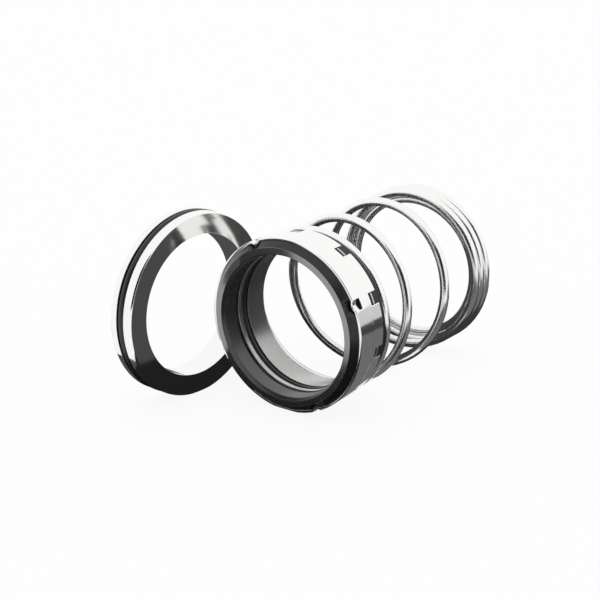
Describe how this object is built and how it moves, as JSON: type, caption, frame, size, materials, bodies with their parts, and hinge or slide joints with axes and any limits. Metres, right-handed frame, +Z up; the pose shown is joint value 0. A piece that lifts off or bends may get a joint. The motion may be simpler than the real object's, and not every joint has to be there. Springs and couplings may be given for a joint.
{
  "type": "mechanical seal",
  "caption": "Mechanical face seal laid out as a set: a sprung rotating seal head with its carbon face ring lying on its side and a stationary seat ring standing beside it.",
  "frame": {"origin": "on the shaft axis of the rotating head, in the middle of the thrust ring's bore", "axes": "+Y along the shaft axis from the sealing face towards the spring, +Z up from the table the set stands on, -X towards the stationary seat"},
  "size_m": [0.0853, 0.134, 0.0719],
  "materials": {
    "seat_alloy": "lapped",
    "stainless_sheet": "polished",
    "carbon": "lapped, semi-gloss",
    "turned_steel": "fine turned",
    "spring_wire": "drawn and polished",
    "black_rubber": "satin"
  },
  "bodies": {
    "head_and_seat": {"seat_ring": "seat_alloy", "seat_o_ring": "black_rubber", "face_ring": "carbon", "shell": "stainless_sheet", "backup_ring": "turned_steel", "shaft_o_ring": "black_rubber", "thrust_ring": "turned_steel"},
    "spring_tail": {"coil_spring": "spring_wire", "split_drive_ring": "spring_wire"}
  },
  "joints": [
    {"name": "spring_compression", "type": "slide", "parent": "head_and_seat", "child": "spring_tail", "axis": [0, -1, 0], "range_m": [0, 0.03], "stiffness_N_per_m": 4000, "deforming": ["coil_spring"]}
  ]
}
